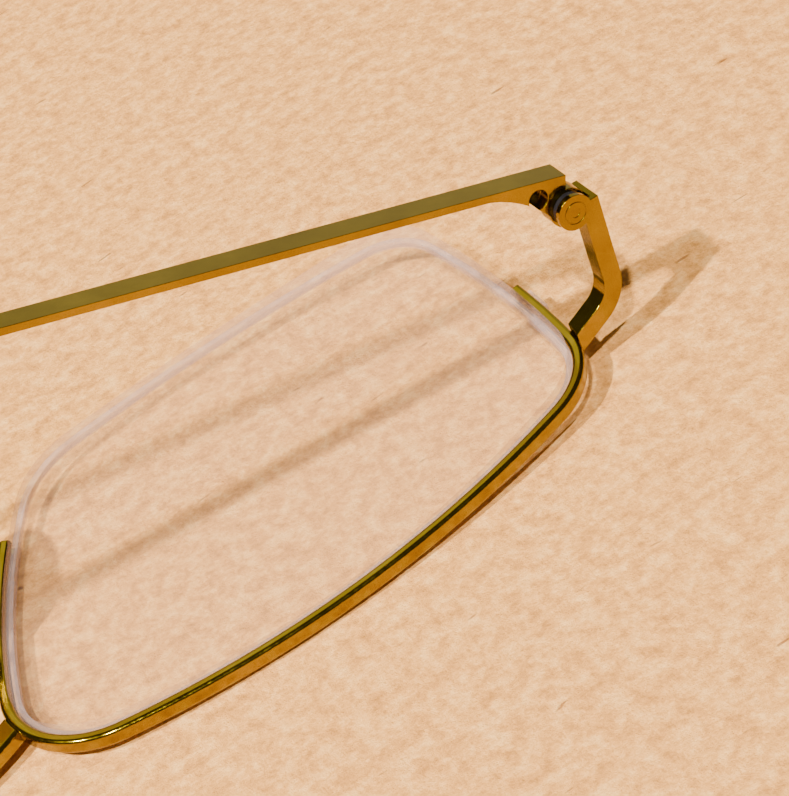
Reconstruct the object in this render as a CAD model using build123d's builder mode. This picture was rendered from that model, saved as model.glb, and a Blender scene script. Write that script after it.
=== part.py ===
from build123d import *
from math import cos, radians, sin, sqrt
import os

# Half-rim spectacles lying on their front, all sizes in millimetres.
# +X is the wearer's left, +Y is towards the chin and +Z is away from the surface, towards the face.
# The origin is on that surface, midway between the two lenses.
# Every piece is made for the wearer's left and mirrored for the right.

# ---- lens outline, seen from the front, about the lens centre
LENS_WIDTH, INNER_HEIGHT, OUTER_HEIGHT = 52.0, 30.9, 28.2
BROW_Y, BROW_DROOP = -15.2, 0.9
CHEEK_LEAN, NOSE_LEAN = 0.9, 13.4
BROW_NOSE = (-LENS_WIDTH / 2, BROW_Y)
BROW_TEMPLE = (LENS_WIDTH / 2, BROW_Y + BROW_DROOP)
CHEEK_TEMPLE = (LENS_WIDTH / 2 - CHEEK_LEAN, BROW_Y + BROW_DROOP + OUTER_HEIGHT)
CHEEK_NOSE = (NOSE_LEAN - LENS_WIDTH / 2, BROW_Y + INNER_HEIGHT)
BROW_BULGE, TEMPLE_BULGE, CHEEK_BULGE, NOSE_BULGE = 3.25, 1.3, 2.05, 2.25
BROW_NOSE_RADIUS, BROW_TEMPLE_RADIUS = 6.8, 6.2
CHEEK_TEMPLE_RADIUS, CHEEK_NOSE_RADIUS = 6.0, 10.0
NOSE_GAP = 18.0
LENS_CENTRE_X = (NOSE_GAP + LENS_WIDTH) / 2

# ---- lens body
FRONT_CURVE = 223.0
REAR_CURVE = 130.0
LENS_THICKNESS = 1.25
FRAME_TILT = 2.0
FACE_WRAP = 0.9
GROOVE_DEPTH, GROOVE_WIDTH, GROOVE_SET_BACK = 0.55, 0.6, 0.45

# ---- half rim, its nylon liner and the nylon cord under the lens
RIM_GAP = 0.08
RIM_THICKNESS, RIM_DEPTH, RIM_ROUND = 1.0, 1.4, 0.32
RIM_SET_BACK = 0.1
CHANNEL_DEPTH = 0.42
LINER_FIT = 0.02
RIM_END_TEMPLE, RIM_END_NOSE = 0.46, 0.25
CORD_HOLES = (1.2, 3.4)
CORD_RADIUS, CORD_END_RADIUS, CORD_HOLE_FIT = 0.26, 0.2, 0.04
CORD_OVERLAP = 4.4
CORD_PROUD = 0.08
LOOP_HEIGHT = 0.34
CHANNEL_CUT = 1.0
RIM_END_REACH, SHEET_REACH = 6.0, 45.0

# ---- end-piece and hinge
HINGE_OUTBOARD, HINGE_Z = 4.74, 14.35
HINGE_X = NOSE_GAP / 2 + LENS_WIDTH + HINGE_OUTBOARD
HINGE_TOP = -11.3
END_HEIGHT = 3.1
ARM_WIDTH, ARM_HEIGHT = 1.6, 1.65
ARM_OUTSIDE, ARM_LEAN = 2.2, 0.4
ARM_SLOPE = 25.4
HINGE_BLOCK = 1.1
ARM_ROOT, ARM_ROOT_Z = 0.4, 1.45
ARM_START = (NOSE_GAP / 2 + LENS_WIDTH - ARM_ROOT, ARM_ROOT_Z)
ARM_INNER_BEND = 2.4
STOP_HEIGHT = 0.25
DISC_RADIUS, DISC_THICKNESS = 1.5, 0.45
ENGRAVED_RING, ENGRAVED_DOT, ENGRAVING = 0.92, 0.42, 0.05
WASHER_RADIUS, WASHER_THICKNESS = 1.4, 0.55
KNUCKLE_RADIUS, LEAF_THICKNESS = 1.65, 0.55
HINGE_GAP, KNUCKLE_CLEARANCE = 0.03, 0.12
SCREW_RADIUS, SCREW_FIT = 0.55, 0.04
SCREW_HEAD_RADIUS, SCREW_HEAD_HEIGHT, SCREW_SLOT = 0.95, 0.3, 0.22
SCREW_END = 0.2

# ---- temples
TEMPLE_ANGLE = {"left": 19.6, "right": 90.0}
TEMPLE_OUTSIDE, TEMPLE_THICKNESS = 2.85, 0.62
TEMPLE_HEIGHT, TEMPLE_TIP_HEIGHT = 2.3, 1.9
TEMPLE_LENGTH, TIP_START, EAR_BEND = 140.0, 84.0, 94.0
BEND_RADIUS, BEND_ANGLE = 26.0, 45.0
WEB_LENGTH, WEB_BOW, WEB_ROOT = 7.0, (3.7, 1.15), (1.5, -0.5)
CORE_HEIGHT, CORE_INSET = 1.3, 6.0
TIP_THICKNESS, TIP_NECK, TIP_PADDLE, TIP_ROUND = 2.2, 3.0, 4.8, 0.9
CORE_FIT, CORE_OVERLAP = 0.03, 1.0
POCKET_RADIUS, POCKET_AT, POCKET_DEPTH = 0.85, (2.7, 1.35), 1.1

# ---- bridge
BRIDGE_HEIGHT, BRIDGE_DEPTH, BRIDGE_RISE = 2.3, 1.45, 2.6
BRIDGE_Y, BRIDGE_Z = -10.4, 1.2

# ---- nose pads
PAD_OUTBOARD = 0.6
PAD_CENTRE = (NOSE_GAP / 2 + PAD_OUTBOARD, 3.6, 10.6)
PAD_LENGTH, PAD_WIDTH, PAD_THICKNESS, PAD_ROUND = 13.2, 7.2, 2.3, 1.0
PAD_SPLAY, PAD_FLARE = 38.0, 17.0
INSERT_RADIUS, INSERT_THICKNESS = 1.9, 0.6
LUG_LENGTH, LUG_WIDTH, LUG_THICKNESS = 1.9, 1.5, 0.8
BOX_WALL, BOX_GAP, BOX_DEPTH, BOX_HEIGHT = 0.4, 0.12, 1.9, 2.2
PAD_SCREW_RADIUS, PAD_SCREW_HEAD, PAD_SCREW_FIT = 0.35, 0.62, 0.04
WIRE_RADIUS = 0.45
WIRE_FOOT_Y, WIRE_FOOT_Z, WIRE_SINK = -1.5, 1.5, 0.15
WIRE_RISE = (0.1, 0.4, 4.5)
WIRE_REACH, WIRE_BEND = 1.7, 0.8

os.makedirs("parts", exist_ok=True)
SIDES = ("left", "right")


def save(part, side, name):
    """Writes one piece, mirrored across the middle for the wearer's right."""
    placed = part if side != "right" else mirror(part, about=Plane.YZ)
    node = name if side is None else f"{side}_{name}"
    placed.label = node
    export_step(placed, f"parts/{node}.step")


# ---------------------------------------------------------------- lens frame
tilt, wrap = radians(FRAME_TILT), radians(FACE_WRAP)
across = Vector(cos(wrap), 0, sin(wrap))
down = Vector(0, cos(tilt), sin(tilt))
facing = across.cross(down)
# The front surface is a sphere, so the lens touches the surface below it at one point.
LENS_RISE = FRONT_CURVE * (1 - facing.Z)
lens_plane = Plane(origin=(LENS_CENTRE_X, 0, LENS_RISE), x_dir=across, z_dir=facing)
lens_place = lens_plane.location

# The sides in order round the lens, from its brow corner by the nose: two corners and the bulge.
SIDE_ENDS = (
    (BROW_NOSE, BROW_TEMPLE, BROW_BULGE),
    (BROW_TEMPLE, CHEEK_TEMPLE, TEMPLE_BULGE),
    (CHEEK_TEMPLE, CHEEK_NOSE, CHEEK_BULGE),
    (CHEEK_NOSE, BROW_NOSE, NOSE_BULGE),
)
CORNER_RADII = (BROW_NOSE_RADIUS, BROW_TEMPLE_RADIUS, CHEEK_TEMPLE_RADIUS, CHEEK_NOSE_RADIUS)
BLANK_HEIGHT, BLANK_START = 9.0, -1.0
# Each lens sphere has its poles and seam turned away from the lens.
POLE_ASIDE = (90, 0, 0)


def side_circle(start, end, bulge):
    """Centre and radius of the circle that a side lies on."""
    run = Vector(*end) - Vector(*start)
    radius = (run.length**2 / 4 + bulge**2) / (2 * bulge)
    inward = Vector(-run.Y, run.X).normalized()
    return (Vector(*start) + Vector(*end)) / 2 + inward * (radius - bulge), radius


def meeting_point(one, other, near):
    """Where two circles cross, on the side of a point."""
    (centre, radius), (next_centre, next_radius) = one, other
    gap = next_centre - centre
    along = (radius**2 - next_radius**2 + gap.length**2) / (2 * gap.length)
    lift = Vector(-gap.Y, gap.X).normalized() * sqrt(radius**2 - along**2)
    foot = centre + gap.normalized() * along
    return min((foot + lift, foot - lift), key=lambda point: (point - near).length)


def lens_shape(grow=0.0):
    """The lens outline, grown outward all round by an amount."""
    circles = []
    for start, end, bulge in SIDE_ENDS:
        centre, radius = side_circle(start, end, bulge)
        circles.append((centre, radius + grow))
    corners = [meeting_point(circles[i - 1], circles[i], Vector(*SIDE_ENDS[i][0])) for i in range(4)]
    with BuildSketch() as shape:
        with BuildLine():
            for i, (centre, radius) in enumerate(circles):
                start, end = corners[i], corners[(i + 1) % 4]
                bow = ((start + end) / 2 - centre).normalized() * radius
                ThreePointArc(start, centre + bow, end)
        make_face()
        for corner, radius in zip(corners, CORNER_RADII):
            fillet(shape.vertices().sort_by_distance(corner)[0], radius + grow)
    return shape.sketch


def sag(x, y):
    """How far the front surface has curved back at a point of the outline."""
    return FRONT_CURVE - sqrt(FRONT_CURVE**2 - x**2 - y**2)


def curved_band(inner, outer, front, back, region=None, keep=True):
    """A strip that follows the outline between two offsets and the front surface between two depths."""
    with BuildPart() as band:
        with BuildSketch(Plane.XY.offset(BLANK_START)):
            add(lens_shape(outer))
            add(lens_shape(inner), mode=Mode.SUBTRACT)
            if region is not None:
                add(region, mode=Mode.INTERSECT if keep else Mode.SUBTRACT)
        extrude(amount=BLANK_HEIGHT)
        with Locations((0, 0, front + FRONT_CURVE)):
            Sphere(FRONT_CURVE, rotation=POLE_ASIDE, mode=Mode.INTERSECT)
        with Locations((0, 0, back + FRONT_CURVE)):
            Sphere(FRONT_CURVE, rotation=POLE_ASIDE, mode=Mode.SUBTRACT)
    return band.part


def edge_frame(edge, along):
    """A point of the outline with its direction along the edge and straight out of the lens."""
    point = edge.position_at(along, PositionMode.LENGTH)
    run = edge.tangent_at(along, PositionMode.LENGTH)
    return point, run, Vector(run.Y, -run.X)


def side_edge(start, end, bulge):
    """A side of the lens as an edge, from corner to corner."""
    return SagittaArc(start, end, -bulge, mode=Mode.PRIVATE)


TEMPLE_SIDE, NOSE_SIDE = side_edge(*SIDE_ENDS[1]), side_edge(*SIDE_ENDS[3])
# Distances along each side to the end of the metal rim, measured from its brow corner.
TEMPLE_STOP = RIM_END_TEMPLE * TEMPLE_SIDE.length
NOSE_STOP = (1 - RIM_END_NOSE) * NOSE_SIDE.length


def rim_end(side, back_off):
    """Point, direction to the brow corner and outward direction, set back from an end of the rim."""
    if side == "temple":
        point, run, out = edge_frame(TEMPLE_SIDE, TEMPLE_STOP - back_off)
        return point, run * -1, out
    point, run, out = edge_frame(NOSE_SIDE, NOSE_SIDE.length - NOSE_STOP + back_off)
    return point, run, out


def open_side(back_off=0.0):
    """The stretch below the half rim, where only the nylon holds the lens."""
    reach, far = RIM_END_REACH, SHEET_REACH
    temple, _, temple_out = rim_end("temple", back_off)
    nose, _, nose_out = rim_end("nose", back_off)
    with BuildSketch() as region:
        with BuildLine():
            Polyline(
                temple - temple_out * reach,
                temple + temple_out * reach,
                (far, far),
                (-far, far),
                nose + nose_out * reach,
                nose - nose_out * reach,
                close=True,
            )
        make_face()
    return region.sketch


# ---------------------------------------------------------------- lens
def make_lens():
    """A meniscus lens with a groove round its edge."""
    with BuildPart() as lens:
        with BuildSketch(Plane.XY.offset(BLANK_START)):
            add(lens_shape())
        extrude(amount=BLANK_HEIGHT)
        with Locations((0, 0, FRONT_CURVE)):
            Sphere(FRONT_CURVE, rotation=POLE_ASIDE, mode=Mode.INTERSECT)
        with Locations((0, 0, LENS_THICKNESS + REAR_CURVE)):
            Sphere(REAR_CURVE, rotation=POLE_ASIDE, mode=Mode.SUBTRACT)
        add(
            curved_band(-GROOVE_DEPTH, CHANNEL_CUT, GROOVE_SET_BACK, GROOVE_SET_BACK + GROOVE_WIDTH),
            mode=Mode.SUBTRACT,
        )
    return lens.part


RIM_INSIDE, RIM_OUTSIDE = RIM_GAP, RIM_GAP + RIM_THICKNESS
CHANNEL_BOTTOM = RIM_INSIDE + CHANNEL_DEPTH
GROOVE_MIDDLE = GROOVE_SET_BACK + GROOVE_WIDTH / 2


def cord_run(side, back_off):
    """The axis of a nylon hole through the rim."""
    point, _, out = rim_end(side, back_off)
    return Plane(origin=(point.X, point.Y, sag(point.X, point.Y) + GROOVE_MIDDLE), z_dir=out)


def make_rim():
    """The half rim: a curved metal strip with an inner channel and two nylon holes near each end."""
    with BuildPart() as rim:
        add(
            curved_band(
                RIM_INSIDE, RIM_OUTSIDE, RIM_SET_BACK, RIM_SET_BACK + RIM_DEPTH, open_side(), keep=False
            )
        )
        corners = rim.edges().filter_by(lambda edge: edge.length > 2 * RIM_DEPTH)
        fillet(corners, RIM_ROUND)
        channel_back = GROOVE_SET_BACK + GROOVE_WIDTH
        add(
            curved_band(RIM_INSIDE - CHANNEL_CUT, CHANNEL_BOTTOM, GROOVE_SET_BACK, channel_back),
            mode=Mode.SUBTRACT,
        )
        for side in ("temple", "nose"):
            for back_off in CORD_HOLES:
                with BuildSketch(cord_run(side, back_off)):
                    Circle(CORD_END_RADIUS + CORD_HOLE_FIT)
                extrude(amount=RIM_OUTSIDE * 2, both=True, mode=Mode.SUBTRACT)
    return rim.part


def make_liner():
    """The nylon strip that sits in the rim's channel and in the lens groove."""
    return curved_band(
        LINER_FIT - GROOVE_DEPTH,
        CHANNEL_BOTTOM - LINER_FIT,
        GROOVE_SET_BACK + LINER_FIT,
        GROOVE_SET_BACK + GROOVE_WIDTH - LINER_FIT,
        open_side(CORD_OVERLAP + LINER_FIT),
        keep=False,
    )


def make_cord():
    """The nylon cord under the lens, with its ends drawn out and back through the rim's holes."""
    near, far = CORD_HOLES
    front, back = GROOVE_MIDDLE - CORD_RADIUS, GROOVE_MIDDLE + CORD_RADIUS
    with BuildPart() as cord:
        add(curved_band(CORD_PROUD - 2 * CORD_RADIUS, CORD_PROUD, front, back, open_side(CORD_OVERLAP)))
        add(
            curved_band(
                RIM_OUTSIDE,
                RIM_OUTSIDE + LOOP_HEIGHT,
                front,
                back,
                open_side(far + CORD_RADIUS) - open_side(near - CORD_RADIUS),
            )
        )
        for side in ("temple", "nose"):
            for back_off in CORD_HOLES:
                with BuildSketch(cord_run(side, back_off)):
                    Circle(CORD_END_RADIUS)
                extrude(amount=RIM_OUTSIDE + LOOP_HEIGHT / 2)
    return cord.part


# ---------------------------------------------------------------- end-piece and hinge
END_BOTTOM = HINGE_TOP + END_HEIGHT
WASHER_TOP = HINGE_TOP + DISC_THICKNESS
KNUCKLE_TOP = WASHER_TOP + WASHER_THICKNESS + HINGE_GAP
LEAF_TOP = END_BOTTOM - LEAF_THICKNESS
KNUCKLE_BOTTOM = LEAF_TOP - HINGE_GAP
ARM_X = HINGE_X + ARM_OUTSIDE


def level(y):
    """A sketch plane across the hinge axis at a height, drawn in X and Z and facing the chin."""
    return Plane(origin=(0, y, 0), x_dir=(1, 0, 0), z_dir=(0, 1, 0))


def at_hinge(y):
    """The same plane, centred on the left hinge axis."""
    return Plane(origin=(HINGE_X, y, HINGE_Z), x_dir=(1, 0, 0), z_dir=(0, 1, 0))


def rim_prism():
    """Everything inside the outside of the rim, from in front of the rim to behind it."""
    with BuildPart() as prism:
        with BuildSketch(Plane.XY):
            add(lens_shape(RIM_OUTSIDE))
        extrude(amount=BLANK_HEIGHT / 2, both=True)
    return lens_place * prism.part


def make_endpiece():
    """The bent arm from the rim to the hinge, its two leaves and the wall that stops the temple."""
    start_x, start_z = ARM_START
    slope = radians(ARM_SLOPE)
    run = Vector(cos(slope), sin(slope))
    bend_x = ARM_X - ARM_LEAN
    # The sketch plane faces the chin, so its own upward direction is towards the surface.
    outer_bend = Vector(bend_x, -start_z - (bend_x - start_x) * run.Y / run.X)
    top = Vector(ARM_X, -HINGE_Z - STOP_HEIGHT)
    rise = (top - outer_bend).normalized()
    with BuildPart() as endpiece:
        with BuildSketch(level(HINGE_TOP)):
            with BuildLine():
                FilletPolyline((start_x, -start_z), outer_bend, top, radius=ARM_INNER_BEND + ARM_WIDTH)
                offset(amount=ARM_WIDTH, side=Side.RIGHT, closed=True)
            make_face()
        extrude(amount=ARM_HEIGHT)
        with BuildSketch(level(HINGE_TOP)):
            with BuildLine():
                foot = top - rise * (STOP_HEIGHT + HINGE_BLOCK)
                inward = Vector(rise.Y, -rise.X) * ARM_WIDTH
                Polyline(foot, top, top + inward, foot + inward, close=True)
            make_face()
        extrude(amount=END_HEIGHT)
        with BuildSketch(at_hinge(WASHER_TOP)):
            Circle(KNUCKLE_RADIUS + KNUCKLE_CLEARANCE)
        extrude(amount=LEAF_TOP - WASHER_TOP, mode=Mode.SUBTRACT)
        for y, thickness in ((HINGE_TOP, DISC_THICKNESS), (LEAF_TOP, LEAF_THICKNESS)):
            with BuildSketch(at_hinge(y)):
                Circle(DISC_RADIUS)
            extrude(amount=thickness)
        with BuildSketch(at_hinge(HINGE_TOP)):
            Circle(ENGRAVED_RING + ENGRAVING)
            Circle(ENGRAVED_RING - ENGRAVING, mode=Mode.SUBTRACT)
            Circle(ENGRAVED_DOT)
        extrude(amount=ENGRAVING, mode=Mode.SUBTRACT)
        with BuildSketch(at_hinge(HINGE_TOP + SCREW_END)):
            Circle(SCREW_RADIUS)
        extrude(amount=END_HEIGHT, mode=Mode.SUBTRACT)
        with BuildSketch(at_hinge(END_BOTTOM - SCREW_HEAD_HEIGHT)):
            Circle(SCREW_HEAD_RADIUS)
        extrude(amount=SCREW_HEAD_HEIGHT, mode=Mode.SUBTRACT)
        add(rim_prism(), mode=Mode.SUBTRACT)
    return endpiece.part


def make_hinge_screw():
    """The screw on the hinge axis: a slotted head below and a plain end in the upper leaf."""
    with BuildPart() as screw:
        with BuildSketch(at_hinge(HINGE_TOP + SCREW_END)):
            Circle(SCREW_RADIUS)
        extrude(amount=END_HEIGHT - SCREW_END)
        with BuildSketch(at_hinge(END_BOTTOM - SCREW_HEAD_HEIGHT)):
            Circle(SCREW_HEAD_RADIUS)
        extrude(amount=SCREW_HEAD_HEIGHT)
        with BuildSketch(at_hinge(END_BOTTOM - SCREW_HEAD_HEIGHT / 2)):
            Rectangle(SCREW_HEAD_RADIUS * 2, SCREW_SLOT)
        extrude(amount=SCREW_HEAD_HEIGHT, mode=Mode.SUBTRACT)
    return screw.part


def make_washer():
    """The dark washer between the upper leaf and the temple's knuckle."""
    with BuildPart() as washer:
        with BuildSketch(at_hinge(WASHER_TOP)):
            Circle(WASHER_RADIUS)
            Circle(SCREW_RADIUS, mode=Mode.SUBTRACT)
        extrude(amount=WASHER_THICKNESS)
    return washer.part


# ---------------------------------------------------------------- temples
def temple_plane(angle, y):
    """A sketch plane at a height: X along the temple, Y to the temple's outer side."""
    fold = radians(angle)
    return Plane(origin=(HINGE_X, y, HINGE_Z), x_dir=(-cos(fold), 0, sin(fold)), z_dir=(0, 1, 0))


def side_plane(angle, outward):
    """A sketch plane along the temple's side: X along it, Y towards the chin, facing inward."""
    fold = radians(angle)
    along, out = Vector(-cos(fold), 0, sin(fold)), Vector(sin(fold), 0, cos(fold))
    origin = Vector(HINGE_X, 0, HINGE_Z) + out * outward
    return Plane(origin=origin, x_dir=along, z_dir=along.cross(Vector(0, 1, 0)))


BAR_TOP = KNUCKLE_TOP
BAR_INSIDE = TEMPLE_OUTSIDE - TEMPLE_THICKNESS
BAR_MIDDLE = TEMPLE_OUTSIDE - TEMPLE_THICKNESS / 2
CORE_Y = BAR_TOP + TEMPLE_TIP_HEIGHT / 2


def ear_path(end):
    """Two points of a temple's middle line: where the ear bend ends, and the temple's end."""
    bend = radians(BEND_ANGLE)
    curve = BEND_RADIUS * bend
    turn = Vector(EAR_BEND + BEND_RADIUS * sin(bend), CORE_Y + BEND_RADIUS * (1 - cos(bend)))
    return turn, turn + Vector(cos(bend), sin(bend)) * (end - EAR_BEND - curve)


def bent_strip(start, end, height, end_height):
    """A side view that follows the ear bend, with a height at its start and another at its end."""
    turn, tail = ear_path(end)
    bend = radians(BEND_ANGLE)
    half, far = height / 2, end_height / 2
    lean = Vector(-sin(bend), cos(bend))
    middle = (half + far) / 2
    mid_bend = bend / 2
    waist = Vector(EAR_BEND + BEND_RADIUS * sin(mid_bend), CORE_Y + BEND_RADIUS * (1 - cos(mid_bend)))
    waist_lean = Vector(-sin(mid_bend), cos(mid_bend))
    with BuildSketch() as view:
        with BuildLine():
            Polyline(
                (EAR_BEND, CORE_Y + half),
                (start, CORE_Y + half),
                (start, CORE_Y - half),
                (EAR_BEND, CORE_Y - half),
            )
            ThreePointArc(
                (EAR_BEND, CORE_Y - half),
                waist - waist_lean * middle,
                turn - lean * far,
            )
            Polyline(turn - lean * far, tail - lean * far, tail + lean * far, turn + lean * far)
            ThreePointArc(
                turn + lean * far,
                waist + waist_lean * middle,
                (EAR_BEND, CORE_Y + half),
            )
        make_face()
    return view.sketch


def make_temple(angle):
    """The metal temple: knuckle, web, bar and the core that runs on inside the tip."""
    web_start = STOP_HEIGHT + HINGE_GAP
    with BuildPart() as temple:
        with BuildSketch(side_plane(angle, BAR_INSIDE)):
            with BuildLine():
                Polyline(
                    (web_start, BAR_TOP),
                    (TIP_START, BAR_TOP),
                    (TIP_START, BAR_TOP + TEMPLE_TIP_HEIGHT),
                    (web_start, BAR_TOP + TEMPLE_HEIGHT),
                    close=True,
                )
            make_face()
        extrude(amount=-TEMPLE_THICKNESS)
        with BuildSketch(side_plane(angle, BAR_INSIDE)):
            core_end = TEMPLE_LENGTH - CORE_INSET
            add(bent_strip(TIP_START - CORE_OVERLAP, core_end, CORE_HEIGHT, CORE_HEIGHT))
        extrude(amount=-TEMPLE_THICKNESS)
        with BuildSketch(temple_plane(angle, KNUCKLE_TOP)):
            with BuildLine():
                web = Polyline(
                    (WEB_LENGTH, BAR_INSIDE),
                    (WEB_LENGTH, TEMPLE_OUTSIDE),
                    (web_start, TEMPLE_OUTSIDE),
                    (web_start, WEB_ROOT[1]),
                    WEB_ROOT,
                )
                ThreePointArc(web @ 1, WEB_BOW, web @ 0)
            make_face()
        extrude(amount=KNUCKLE_BOTTOM - KNUCKLE_TOP)
        with BuildSketch(temple_plane(angle, KNUCKLE_TOP)):
            with Locations(POCKET_AT):
                Circle(POCKET_RADIUS)
        extrude(amount=POCKET_DEPTH, mode=Mode.SUBTRACT)
        with BuildSketch(temple_plane(angle, KNUCKLE_TOP)):
            Circle(KNUCKLE_RADIUS)
        extrude(amount=KNUCKLE_BOTTOM - KNUCKLE_TOP)
        with BuildSketch(temple_plane(angle, KNUCKLE_TOP)):
            Circle(SCREW_RADIUS + SCREW_FIT)
        extrude(amount=TEMPLE_HEIGHT, mode=Mode.SUBTRACT)
    return temple.part


def make_tip(angle):
    """The plastic sleeve over the temple's core, widening to a paddle behind the ear."""
    with BuildPart() as tip:
        with BuildSketch(side_plane(angle, BAR_MIDDLE - TIP_THICKNESS / 2)):
            add(bent_strip(TIP_START + CORE_FIT, TEMPLE_LENGTH, TIP_NECK, TIP_PADDLE))
        extrude(amount=-TIP_THICKNESS)
        fillet(tip.edges(), TIP_ROUND)
        bore = CORE_HEIGHT + 2 * CORE_FIT
        bore_end = TEMPLE_LENGTH - CORE_INSET + CORE_FIT
        with BuildSketch(side_plane(angle, BAR_INSIDE - CORE_FIT)):
            add(bent_strip(TIP_START - CORE_OVERLAP, bore_end, bore, bore))
        extrude(amount=-TEMPLE_THICKNESS - 2 * CORE_FIT, mode=Mode.SUBTRACT)
    return tip.part


# ---------------------------------------------------------------- bridge
def make_bridge():
    """The arched bar between the two rims."""
    half = NOSE_GAP / 2 + RIM_THICKNESS
    with BuildPart() as bridge:
        with BuildSketch(Plane.XY.offset(BRIDGE_Z)):
            with BuildLine():
                lower, upper = [
                    ThreePointArc((-half, y), (0, y - BRIDGE_RISE), (half, y))
                    for y in (BRIDGE_Y + BRIDGE_HEIGHT / 2, BRIDGE_Y - BRIDGE_HEIGHT / 2)
                ]
                Line(lower @ 0, upper @ 0)
                Line(lower @ 1, upper @ 1)
            make_face()
        extrude(amount=BRIDGE_DEPTH)
        add(rim_prism(), mode=Mode.SUBTRACT)
        add(mirror(rim_prism(), about=Plane.YZ), mode=Mode.SUBTRACT)
        long_edges = bridge.edges().filter_by(lambda edge: edge.length > NOSE_GAP / 2)
        fillet(long_edges, RIM_ROUND)
    return bridge.part


# ---------------------------------------------------------------- nose pads
splay, flare = radians(PAD_SPLAY), radians(PAD_FLARE)
PAD_NORMAL = Vector(-cos(splay) * cos(flare), sin(flare), sin(splay) * cos(flare))
PAD_RUN = Vector(cos(splay) * sin(flare), cos(flare), -sin(splay) * sin(flare))
PAD_BACK = -PAD_THICKNESS / 2
PIVOT = PAD_BACK - LUG_LENGTH + LUG_WIDTH / 2
SLOT = LUG_THICKNESS + 2 * BOX_GAP
BOX_BACK = PIVOT - LUG_WIDTH / 2 - BOX_GAP - BOX_WALL
pad_plane = Plane(origin=PAD_CENTRE, x_dir=PAD_RUN, z_dir=PAD_NORMAL)


def pad_side(across):
    """A sketch plane through the pivot: X along the pad, Y towards the nose, facing across the pad."""
    return Plane(
        origin=pad_plane.from_local_coords(Vector(0, across, PIVOT)),
        x_dir=PAD_RUN,
        z_dir=PAD_RUN.cross(PAD_NORMAL),
    )


def make_pad_insert(fit=0.0):
    """The metal plate moulded into a pad, with the eyed lug that stands out of its back."""
    with BuildPart() as insert:
        with BuildSketch(pad_plane.offset(PAD_BACK + PAD_ROUND / 2)):
            Circle(INSERT_RADIUS)
        extrude(amount=INSERT_THICKNESS)
        with BuildSketch(pad_side(LUG_THICKNESS / 2)):
            Circle(LUG_WIDTH / 2)
            with Locations((0, LUG_LENGTH / 2)):
                Rectangle(LUG_WIDTH, LUG_LENGTH)
        extrude(amount=LUG_THICKNESS)
        if not fit:
            with BuildSketch(pad_side(LUG_THICKNESS)):
                Circle(PAD_SCREW_RADIUS + PAD_SCREW_FIT)
            extrude(amount=LUG_THICKNESS * 2, mode=Mode.SUBTRACT)
    return insert.part


def make_nose_pad():
    """The soft oval pad round its insert."""
    with BuildPart() as pad:
        with BuildSketch(pad_plane.offset(PAD_BACK)):
            Ellipse(PAD_LENGTH / 2, PAD_WIDTH / 2)
        extrude(amount=PAD_THICKNESS)
        fillet(pad.edges(), PAD_ROUND)
        add(make_pad_insert(fit=True), mode=Mode.SUBTRACT)
    return pad.part


def make_pad_arm():
    """The bent wire on the rim and the open box at its end that holds the pad's lug."""
    centre, radius = side_circle(*SIDE_ENDS[3])
    rim_x = centre.X - sqrt((radius + RIM_OUTSIDE) ** 2 - (WIRE_FOOT_Y - centre.Y) ** 2)
    foot = Vector(LENS_CENTRE_X + rim_x - WIRE_RADIUS + WIRE_SINK, WIRE_FOOT_Y, WIRE_FOOT_Z)
    socket = pad_plane.from_local_coords(Vector(0, 0, BOX_BACK + BOX_WALL / 2))
    knee = socket - PAD_NORMAL * WIRE_REACH
    with BuildPart() as arm:
        with BuildLine() as route:
            FilletPolyline(foot, foot + Vector(*WIRE_RISE), knee, socket, radius=WIRE_BEND)
        with BuildSketch(Plane(origin=foot, z_dir=route.line % 0)):
            Circle(WIRE_RADIUS)
        sweep(path=route.line)
        with BuildSketch(pad_plane.offset(BOX_BACK)):
            Rectangle(BOX_HEIGHT, SLOT + 2 * BOX_WALL)
        extrude(amount=BOX_DEPTH)
        with BuildSketch(pad_plane.offset(BOX_BACK + BOX_WALL)):
            Rectangle(BOX_HEIGHT, SLOT)
        extrude(amount=BOX_DEPTH, mode=Mode.SUBTRACT)
        with BuildSketch(pad_side(SLOT)):
            Circle(PAD_SCREW_RADIUS)
        extrude(amount=SLOT * 2, mode=Mode.SUBTRACT)
        add(rim_prism(), mode=Mode.SUBTRACT)
    return arm.part


def make_pad_screw():
    """The screw across the box, on which the pad rocks."""
    outside = SLOT / 2 + BOX_WALL
    with BuildPart() as screw:
        with BuildSketch(pad_side(outside)):
            Circle(PAD_SCREW_RADIUS)
        extrude(amount=outside * 2)
        with BuildSketch(pad_side(-outside)):
            Circle(PAD_SCREW_HEAD)
        extrude(amount=PAD_SCREW_RADIUS)
    return screw.part


for side in SIDES:
    angle = TEMPLE_ANGLE[side]
    save(lens_place * make_lens(), side, "lens")
    save(lens_place * make_rim(), side, "half_rim")
    save(lens_place * make_liner(), side, "rim_liner")
    save(lens_place * make_cord(), side, "nylon_cord")
    save(make_endpiece(), side, "endpiece")
    save(make_hinge_screw(), side, "hinge_screw")
    save(make_washer(), side, "hinge_washer")
    save(make_temple(angle), side, "temple")
    save(make_tip(angle), side, "temple_tip")
    save(make_pad_arm(), side, "pad_arm")
    save(make_pad_screw(), side, "pad_screw")
    save(make_pad_insert(), side, "pad_insert")
    save(make_nose_pad(), side, "nose_pad")
save(make_bridge(), None, "bridge")
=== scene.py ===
import math

import bmesh
import bpy
from mathutils import Matrix, Vector


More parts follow.
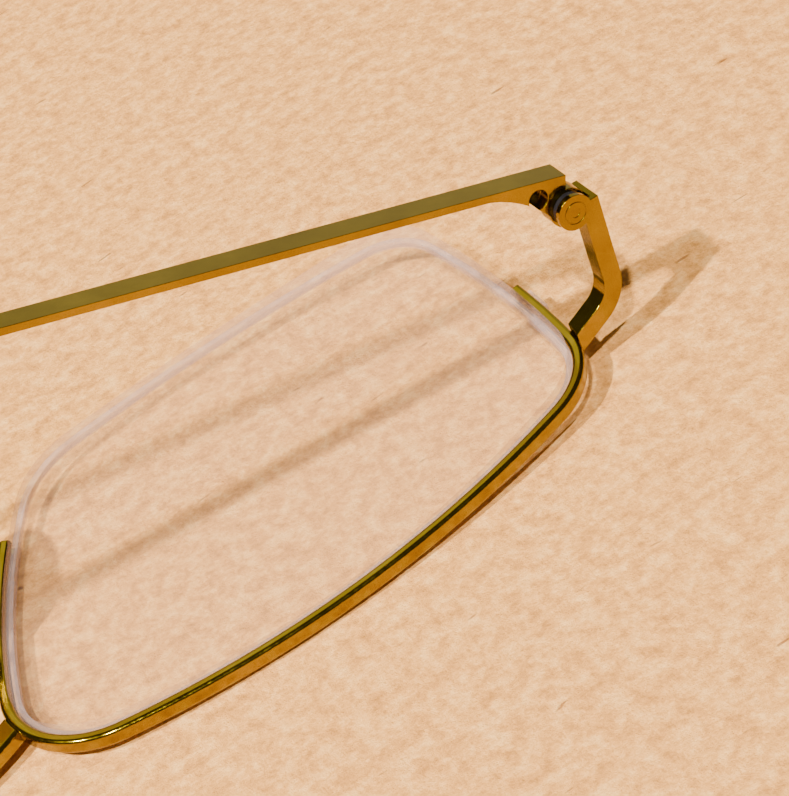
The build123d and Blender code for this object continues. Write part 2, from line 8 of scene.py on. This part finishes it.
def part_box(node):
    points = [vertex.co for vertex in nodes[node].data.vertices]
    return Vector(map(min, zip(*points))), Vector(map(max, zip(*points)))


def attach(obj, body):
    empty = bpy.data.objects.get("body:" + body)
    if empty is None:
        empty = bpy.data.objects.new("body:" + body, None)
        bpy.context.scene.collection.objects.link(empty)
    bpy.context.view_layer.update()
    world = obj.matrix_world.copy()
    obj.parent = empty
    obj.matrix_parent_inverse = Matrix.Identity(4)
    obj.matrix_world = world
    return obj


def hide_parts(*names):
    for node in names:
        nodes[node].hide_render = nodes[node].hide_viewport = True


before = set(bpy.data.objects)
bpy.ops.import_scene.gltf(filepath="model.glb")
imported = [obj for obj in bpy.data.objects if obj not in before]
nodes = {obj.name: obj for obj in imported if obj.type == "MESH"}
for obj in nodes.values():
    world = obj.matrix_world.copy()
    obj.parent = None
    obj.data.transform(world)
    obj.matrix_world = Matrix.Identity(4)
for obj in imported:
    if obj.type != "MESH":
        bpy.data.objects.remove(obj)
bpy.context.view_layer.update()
scene = bpy.context.scene
MM = 0.001
SIDES = ("left", "right")


# ---------------------------------------------------------------- material helpers
def new_material(name):
    """An empty node material with its shader, its output and the object's own coordinates."""
    material = bpy.data.materials.new(name)
    material.use_nodes = True
    tree = material.node_tree
    tree.nodes.clear()
    output = tree.nodes.new("ShaderNodeOutputMaterial")
    shader = tree.nodes.new("ShaderNodeBsdfPrincipled")
    coordinates = tree.nodes.new("ShaderNodeTexCoord")
    coordinates.name = "coordinates"
    tree.links.new(shader.outputs["BSDF"], output.inputs["Surface"])
    return material, tree, shader, coordinates.outputs["Object"]


def noise(tree, place, scale, detail=3.0, roughness=0.55, stretch=(1, 1, 1)):
    """Noise at a scale in repeats per metre, drawn out along an axis where its stretch is small."""
    mapping = tree.nodes.new("ShaderNodeMapping")
    mapping.inputs["Scale"].default_value = stretch
    texture = tree.nodes.new("ShaderNodeTexNoise")
    texture.inputs["Scale"].default_value = scale
    texture.inputs["Detail"].default_value = detail
    texture.inputs["Roughness"].default_value = roughness
    tree.links.new(place, mapping.inputs["Vector"])
    tree.links.new(mapping.outputs["Vector"], texture.inputs["Vector"])
    return texture.outputs["Fac"]


def ramp(tree, value, stops):
    """A colour or value ramp through (position, colour) stops."""
    node = tree.nodes.new("ShaderNodeValToRGB")
    elements = node.color_ramp.elements
    while len(elements) < len(stops):
        elements.new(0.5)
    for element, (position, colour) in zip(elements, stops):
        element.position = position
        element.color = (*colour, 1.0)
    tree.links.new(value, node.inputs["Fac"])
    return node.outputs["Color"]


def span(tree, value, low, high):
    """Noise's middle range spread between two values."""
    node = tree.nodes.new("ShaderNodeMapRange")
    node.inputs["From Min"].default_value = 0.3
    node.inputs["From Max"].default_value = 0.7
    node.inputs["To Min"].default_value = low
    node.inputs["To Max"].default_value = high
    tree.links.new(value, node.inputs["Value"])
    return node.outputs["Result"]


def bump(tree, shader, height, strength, distance):
    """Surface relief on a shader."""
    node = tree.nodes.new("ShaderNodeBump")
    node.inputs["Strength"].default_value = strength
    node.inputs["Distance"].default_value = distance
    tree.links.new(height, node.inputs["Height"])
    tree.links.new(node.outputs["Normal"], shader.inputs["Normal"])
    return node


def edge_on(tree, coordinates_node):
    """0 on faces that look straight forward or back along the lens axis, and 1 on its side walls."""
    split = tree.nodes.new("ShaderNodeSeparateXYZ")
    size = tree.nodes.new("ShaderNodeMath")
    size.operation = "ABSOLUTE"
    wall = tree.nodes.new("ShaderNodeMapRange")
    wall.inputs["From Min"].default_value = 0.85
    wall.inputs["From Max"].default_value = 0.35
    tree.links.new(coordinates_node.outputs["Normal"], split.inputs["Vector"])
    tree.links.new(split.outputs["Z"], size.inputs[0])
    tree.links.new(size.outputs["Value"], wall.inputs["Value"])
    return wall.outputs["Result"]


# ---------------------------------------------------------------- materials
def polished_gold():
    """Gold plate: deep yellow, with faint polishing haze and fine scuffs."""
    material, tree, shader, place = new_material("polished_gold")
    shader.inputs["Metallic"].default_value = 1.0
    broad = noise(tree, place, 220.0, 4.0)
    plate = [(0.30, (0.21, 0.155, 0.005)), (0.55, (0.25, 0.19, 0.008)), (0.75, (0.31, 0.235, 0.014))]
    colour = ramp(tree, broad, plate)
    tree.links.new(colour, shader.inputs["Base Color"])
    fine = noise(tree, place, 2600.0, 3.0)
    tree.links.new(span(tree, fine, 0.09, 0.20), shader.inputs["Roughness"])
    relief = bump(tree, shader, noise(tree, place, 3200.0, 4.0), 0.06, 0.01 * MM)
    worn_edge = tree.nodes.new("ShaderNodeBevel")
    worn_edge.samples = 6
    worn_edge.inputs["Radius"].default_value = 0.10 * MM
    tree.links.new(worn_edge.outputs["Normal"], relief.inputs["Normal"])
    return material


def clear_lens():
    """Clear lens resin with a little dust, and side walls that show pale."""
    material, tree, shader, place = new_material("clear_lens")
    wall = edge_on(tree, tree.nodes["coordinates"])
    dust = noise(tree, place, 900.0, 5.0)
    tint = ramp(tree, dust, [(0.3, (0.60, 0.42, 0.36)), (0.8, (0.50, 0.35, 0.32))])
    tree.links.new(tint, shader.inputs["Base Color"])
    see = tree.nodes.new("ShaderNodeMapRange")
    see.inputs["To Min"].default_value = 0.05
    see.inputs["To Max"].default_value = 0.34
    tree.links.new(wall, see.inputs["Value"])
    tree.links.new(see.outputs["Result"], shader.inputs["Alpha"])
    tree.links.new(span(tree, noise(tree, place, 350.0, 4.0), 0.02, 0.06), shader.inputs["Roughness"])
    shader.inputs["IOR"].default_value = 1.6
    return material


def clear_nylon():
    """Clear nylon with a faint milkiness."""
    material, tree, shader, place = new_material("clear_nylon")
    milk = noise(tree, place, 600.0, 3.0)
    colour = ramp(tree, milk, [(0.3, (0.42, 0.31, 0.30)), (0.7, (0.56, 0.43, 0.41))])
    tree.links.new(colour, shader.inputs["Base Color"])
    tree.links.new(span(tree, milk, 0.16, 0.30), shader.inputs["Roughness"])
    tree.links.new(span(tree, milk, 0.30, 0.42), shader.inputs["Alpha"])
    return material


def black_washer():
    """Glossy black polymer with fine turning marks."""
    material, tree, shader, place = new_material("black_washer")
    marks = noise(tree, place, 2500.0, 2.0, stretch=(1, 8, 1))
    colour = ramp(tree, marks, [(0.3, (0.004, 0.004, 0.006)), (0.7, (0.016, 0.016, 0.020))])
    tree.links.new(colour, shader.inputs["Base Color"])
    tree.links.new(span(tree, marks, 0.12, 0.26), shader.inputs["Roughness"])
    return material


def tip_acetate():
    """Dark brown acetate with warm streaks."""
    material, tree, shader, place = new_material("tip_acetate")
    clouds = noise(tree, place, 130.0, 4.0, 0.6, stretch=(1, 1, 0.5))
    streaks = [(0.35, (0.020, 0.008, 0.004)), (0.55, (0.085, 0.030, 0.010)), (0.70, (0.25, 0.095, 0.022))]
    colour = ramp(tree, clouds, streaks)
    tree.links.new(colour, shader.inputs["Base Color"])
    tree.links.new(span(tree, noise(tree, place, 1200.0), 0.10, 0.22), shader.inputs["Roughness"])
    shader.inputs["Coat Weight"].default_value = 0.5
    shader.inputs["Coat Roughness"].default_value = 0.08
    return material


def pad_silicone():
    """Soft translucent silicone with a faint bloom."""
    material, tree, shader, place = new_material("pad_silicone")
    bloom = noise(tree, place, 700.0, 4.0)
    colour = ramp(tree, bloom, [(0.3, (0.66, 0.56, 0.44)), (0.7, (0.80, 0.71, 0.60))])
    tree.links.new(colour, shader.inputs["Base Color"])
    tree.links.new(span(tree, bloom, 0.24, 0.42), shader.inputs["Roughness"])
    tree.links.new(span(tree, bloom, 0.62, 0.74), shader.inputs["Alpha"])
    shader.inputs["Coat Weight"].default_value = 0.3
    return material


def felt():
    """Pale suede-like table cover: soft mottling, short pile and a few stray dark fibres."""
    material, tree, shader, place = new_material("table_felt")
    mottling = noise(tree, place, 620.0, 8.0, 0.78)
    tones = [(0.36, (0.54, 0.25, 0.065)), (0.50, (0.80, 0.395, 0.11)), (0.63, (0.97, 0.58, 0.21))]
    pile = ramp(tree, mottling, tones)
    fibres = noise(tree, place, 260.0, 2.0, 0.4, stretch=(1.0, 5.0, 1.0))
    fibre_mask = ramp(tree, fibres, [(0.735, (1.0, 1.0, 1.0)), (0.775, (0.45, 0.40, 0.42))])
    mix = tree.nodes.new("ShaderNodeMix")
    mix.data_type = "RGBA"
    mix.blend_type = "MULTIPLY"
    mix.inputs["Factor"].default_value = 1.0
    tree.links.new(pile, mix.inputs["A"])
    tree.links.new(fibre_mask, mix.inputs["B"])
    tree.links.new(mix.outputs["Result"], shader.inputs["Base Color"])
    shader.inputs["Roughness"].default_value = 1.0
    shader.inputs["Specular IOR Level"].default_value = 0.1
    bump(tree, shader, noise(tree, place, 900.0, 8.0, 0.75), 1.0, 0.4 * MM)
    return material


def dress(obj, material):
    """Gives an object one material."""
    obj.data.materials.clear()
    obj.data.materials.append(material)


gold = polished_gold()
FINISHES = {
    "lens": clear_lens(),
    "rim_liner": clear_nylon(),
    "nylon_cord": clear_nylon(),
    "hinge_washer": black_washer(),
    "temple_tip": tip_acetate(),
    "nose_pad": pad_silicone(),
}
for name, node in nodes.items():
    piece = name.split("_", 1)[1] if name.startswith(SIDES) else name
    dress(node, FINISHES.get(piece, gold))


# ---------------------------------------------------------------- moulded nose pads
PAD_HALF = (6.5 * MM, 3.5 * MM, 1.12 * MM)
PAD_SPLAY, PAD_FLARE = math.radians(38.0), math.radians(17.0)
PAD_TAPER, PAD_FULLNESS = 0.13, 0.62


def moulded_pad(side, outward):
    """A drop-shaped silicone pad, full at its edges, crowned, and wider at its cheek end."""
    low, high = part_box(side + "_nose_pad")
    centre = (Vector(low) + Vector(high)) / 2
    face = Vector((
        -outward * math.cos(PAD_SPLAY) * math.cos(PAD_FLARE),
        math.sin(PAD_FLARE),
        math.sin(PAD_SPLAY) * math.cos(PAD_FLARE),
    ))
    run = Vector((
        outward * math.cos(PAD_SPLAY) * math.sin(PAD_FLARE),
        math.cos(PAD_FLARE),
        -math.sin(PAD_SPLAY) * math.sin(PAD_FLARE),
    ))
    place = Matrix((run, face.cross(run), face)).transposed().to_4x4()
    build = bmesh.new()
    bmesh.ops.create_uvsphere(build, u_segments=64, v_segments=32, radius=1.0)
    for vert in build.verts:
        height = math.copysign(abs(vert.co.z) ** PAD_FULLNESS, vert.co.z)
        width = vert.co.y * (1 - PAD_TAPER + PAD_TAPER * vert.co.x)
        vert.co = Vector((vert.co.x * PAD_HALF[0], width * PAD_HALF[1], height * PAD_HALF[2]))
    bmesh.ops.transform(build, matrix=Matrix.Translation(centre) @ place, verts=build.verts)
    bmesh.ops.recalc_face_normals(build, faces=build.faces)
    for polygon in build.faces:
        polygon.smooth = True
    mesh = bpy.data.meshes.new(side + "_moulded_pad")
    build.to_mesh(mesh)
    build.free()
    pad = bpy.data.objects.new(side + "_moulded_pad", mesh)
    scene.collection.objects.link(pad)
    dress(pad, FINISHES["nose_pad"])
    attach(pad, side + "_pad")
    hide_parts(side + "_nose_pad")


moulded_pad("left", 1)
moulded_pad("right", -1)


# ---------------------------------------------------------------- floor and light
def floor():
    """A flat table cover under the spectacles."""
    mesh = bpy.data.meshes.new("table_cover")
    build = bmesh.new()
    bmesh.ops.create_grid(build, x_segments=2, y_segments=2, size=1.2)
    build.to_mesh(mesh)
    build.free()
    cover = bpy.data.objects.new("table_cover", mesh)
    scene.collection.objects.link(cover)
    dress(cover, felt())


def soft_light(name, direction, distance, size, power, colour):
    """A round lamp at a distance in a direction from the spectacles, aimed at them."""
    lamp = bpy.data.lights.new(name, "AREA")
    lamp.shape = "DISK"
    lamp.size = size
    lamp.energy = power
    lamp.color = colour
    obj = bpy.data.objects.new(name, lamp)
    way = Vector(direction).normalized()
    obj.location = way * distance
    obj.rotation_euler = way.to_track_quat("Z", "Y").to_euler()
    scene.collection.objects.link(obj)


def surroundings():
    """A warm room glow, brightest a little above the horizon."""
    world = bpy.data.worlds.new("warm_room")
    world.use_nodes = True
    tree = world.node_tree
    tree.nodes.clear()
    output = tree.nodes.new("ShaderNodeOutputWorld")
    background = tree.nodes.new("ShaderNodeBackground")
    coordinates = tree.nodes.new("ShaderNodeTexCoord")
    split = tree.nodes.new("ShaderNodeSeparateXYZ")
    tree.links.new(coordinates.outputs["Generated"], split.inputs["Vector"])
    heights = [(0.0, (0.5, 0.4, 0.25)), (0.3, (1.0, 0.82, 0.55)), (1.0, (0.8, 0.66, 0.45))]
    glow = ramp(tree, split.outputs["Z"], heights)
    tree.links.new(glow, background.inputs["Color"])
    background.inputs["Strength"].default_value = 0.12
    tree.links.new(background.outputs["Background"], output.inputs["Surface"])
    scene.world = world


floor()
surroundings()
WARM = (1.0, 0.88, 0.74)
soft_light("lamp_left", (-0.64, -0.27, 1.0), 1.3, 0.04, 45.0, WARM)
soft_light("lamp_front", (-0.24, -0.64, 1.0), 1.3, 0.05, 31.0, WARM)
soft_light("reflector_far", (0.55, 0.76, 0.30), 1.2, 0.8, 1.1, WARM)
soft_light("reflector_high", (0.15, 0.76, 0.72), 1.2, 0.6, 1.3, WARM)


# ---------------------------------------------------------------- camera
def camera():
    """A close view over the wearer's left brow, looking down towards the chin."""
    data = bpy.data.cameras.new("camera")
    data.sensor_width = 36.0
    data.sensor_height = 36.0
    data.lens = 113.2
    data.shift_x = -0.0088
    data.shift_y = 0.0110
    data.clip_start = 0.005
    data.clip_end = 10.0
    obj = bpy.data.objects.new("camera", data)
    right = Vector((0.8174, -0.4821, -0.3176))
    back = Vector((-0.2050, -0.7589, 0.6210)).normalized()
    right = (right - back * right.dot(back)).normalized()
    up = back.cross(right)
    turn = Matrix((right, up, back)).transposed().to_4x4()
    obj.matrix_world = Matrix.Translation(Vector((7.61, -156.65, 126.77)) * MM) @ turn
    scene.collection.objects.link(obj)
    scene.camera = obj


camera()
